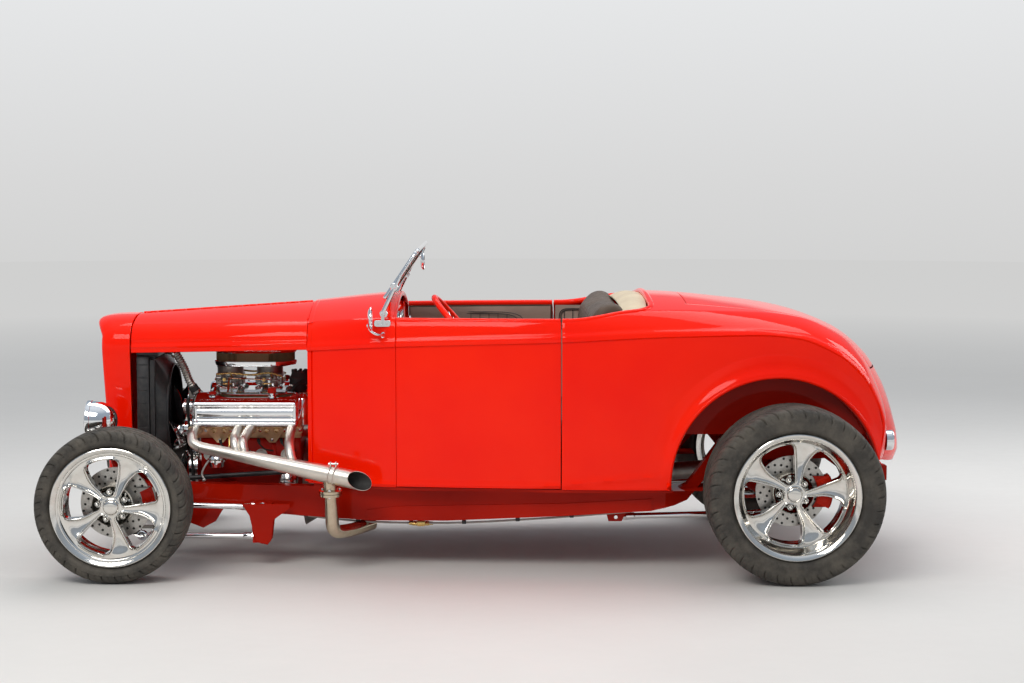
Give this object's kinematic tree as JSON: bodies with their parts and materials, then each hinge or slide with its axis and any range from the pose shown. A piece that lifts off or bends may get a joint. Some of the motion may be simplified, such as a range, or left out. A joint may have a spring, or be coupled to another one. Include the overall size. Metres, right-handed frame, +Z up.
{
  "type": "hot rod roadster",
  "caption": "Open hot rod roadster on ladder rails with exposed engine, wide rear wheels, opening doors, hood and deck lid, and linked steering.",
  "frame": {"origin": "on the ground, midway between the front of the front tyres and the tail, on the car's centre plane", "axes": "+X towards the car's rear, +Y to the car's right, +Z up"},
  "size_m": [3.55, 1.761, 1.312],
  "materials": {
    "body_paint": "high gloss",
    "chassis_paint": "high gloss",
    "engine_paint": "gloss",
    "bronze_paint": "satin",
    "header_coat": "satin ceramic coat",
    "polished_metal": "polished",
    "chrome": "mirror",
    "rotor_steel": "turned",
    "cast_metal": "cast",
    "black_metal": "satin",
    "column_metal": "brushed",
    "steering_trim": "gloss",
    "tyre": "matte",
    "leather": "satin",
    "black_trim": "matte",
    "glass": "clear",
    "lamp_lens": "clear red"
  },
  "bodies": {
    "root": {"cowl": "body_paint", "rear_body": "body_paint", "grille_shell": "body_paint", "wheel_tubs": "body_paint", "dashboard": "body_paint", "frame_rails": "chassis_paint", "crossmembers": "chassis_paint", "rear_axle": "chassis_paint", "floor_pan": "chassis_paint", "intake": "polished_metal", "fan_and_pulleys": "polished_metal", "front_axle": "chrome", "front_radius_rods": "chrome", "rear_radius_rods": "chrome", "headlights": "chrome", "valve_covers": "chrome", "air_cleaner": "chrome", "windshield_frame": "chrome", "mirrors": "chrome", "grille_bars": "chrome", "rear_shocks": "chrome", "front_spring": "cast_metal", "transmission": "cast_metal", "engine_block": "engine_paint", "cylinder_heads": "bronze_paint", "exhaust": "header_coat", "radiator": "black_metal", "steering_column": "column_metal", "seat_cushion": "leather", "seat_back": "leather", "seat_base": "black_trim", "windshield_glass": "glass", "tail_lights": "lamp_lens"},
    "left_door": {"left_door": "body_paint"},
    "right_door": {"right_door": "body_paint"},
    "decklid": {"decklid": "body_paint"},
    "hood_left": {"hood_left": "body_paint"},
    "hood_right": {"hood_right": "body_paint"},
    "steering_wheel": {"steering_wheel": "steering_trim"},
    "left_knuckle": {"left_knuckle": "cast_metal"},
    "right_knuckle": {"right_knuckle": "cast_metal"},
    "tie_rod": {"tie_rod": "chrome"},
    "pitman_arm": {"pitman_arm": "chrome"},
    "drag_link": {"drag_link": "chrome"},
    "front_left_wheel": {"front_left_wheel": "polished_metal", "front_left_tyre": "tyre", "front_left_rotor": "rotor_steel"},
    "front_right_wheel": {"front_right_wheel": "polished_metal", "front_right_tyre": "tyre", "front_right_rotor": "rotor_steel"},
    "rear_left_wheel": {"rear_left_wheel": "polished_metal", "rear_left_tyre": "tyre", "rear_left_rotor": "rotor_steel"},
    "rear_right_wheel": {"rear_right_wheel": "polished_metal", "rear_right_tyre": "tyre", "rear_right_rotor": "rotor_steel"}
  },
  "joints": [
    {"name": "left_door_hinge", "type": "hinge", "parent": "root", "child": "left_door", "pos_m": [-0.356, -0.578, 0.66], "axis": [0, 0, -1], "range_deg": [0, 65]},
    {"name": "right_door_hinge", "type": "hinge", "parent": "root", "child": "right_door", "pos_m": [-0.356, 0.578, 0.66], "axis": [0, 0, 1], "range_deg": [0, 65]},
    {"name": "decklid_hinge", "type": "hinge", "parent": "root", "child": "decklid", "pos_m": [0.819, 0, 1.101], "axis": [0, -1, 0], "range_deg": [0, 60]},
    {"name": "hood_left_hinge", "type": "hinge", "parent": "root", "child": "hood_left", "pos_m": [-1.479, 0, 1.019], "axis": [-0.9978, 0, -0.0667], "range_deg": [0, 70]},
    {"name": "hood_right_hinge", "type": "hinge", "parent": "root", "child": "hood_right", "pos_m": [-1.479, 0, 1.019], "axis": [0.9978, 0, 0.0667], "range_deg": [0, 70]},
    {"name": "steer_left", "type": "hinge", "parent": "root", "child": "left_knuckle", "pos_m": [-1.469, -0.59, 0.306], "axis": [0, 0, 1], "range_deg": [-30, 30]},
    {"name": "steer_right", "type": "hinge", "parent": "root", "child": "right_knuckle", "pos_m": [-1.469, 0.59, 0.306], "axis": [0, 0, 1], "range_deg": [-30, 30]},
    {"name": "tie_rod_end", "type": "hinge", "parent": "left_knuckle", "child": "tie_rod", "pos_m": [-1.329, -0.59, 0.175], "axis": [0, 0, 1], "range_deg": [-30, 30]},
    {"name": "pitman_shaft", "type": "hinge", "parent": "root", "child": "pitman_arm", "pos_m": [-1.319, -0.262, 0.233], "axis": [0, 0, 1], "range_deg": [-30, 30]},
    {"name": "drag_link_end", "type": "hinge", "parent": "pitman_arm", "child": "drag_link", "pos_m": [-1.179, -0.262, 0.213], "axis": [0, 0, 1], "range_deg": [-30, 30]},
    {"name": "steering_wheel_turn", "type": "hinge", "parent": "root", "child": "steering_wheel", "pos_m": [-0.086, -0.33, 0.959], "axis": [0.7604, 0, 0.6494], "range_deg": [-360, 360]},
    {"name": "front_left_spin", "type": "hinge", "parent": "left_knuckle", "child": "front_left_wheel", "pos_m": [-1.469, -0.715, 0.306], "axis": [0, 1, 0], "continuous": true},
    {"name": "rear_left_spin", "type": "hinge", "parent": "root", "child": "rear_left_wheel", "pos_m": [1.223, -0.748, 0.352], "axis": [0, 1, 0], "continuous": true},
    {"name": "front_right_spin", "type": "hinge", "parent": "right_knuckle", "child": "front_right_wheel", "pos_m": [-1.469, 0.715, 0.306], "axis": [0, 1, 0], "continuous": true},
    {"name": "rear_right_spin", "type": "hinge", "parent": "root", "child": "rear_right_wheel", "pos_m": [1.223, 0.748, 0.352], "axis": [0, 1, 0], "continuous": true}
  ],
  "couplings": [
    {"joint": "steer_right", "follows": "steer_left", "ratio": 1},
    {"joint": "tie_rod_end", "follows": "steer_left", "ratio": -1},
    {"joint": "pitman_shaft", "follows": "steer_left", "ratio": 1},
    {"joint": "drag_link_end", "follows": "steer_left", "ratio": -1},
    {"joint": "steering_wheel_turn", "follows": "steer_left", "ratio": 12}
  ]
}
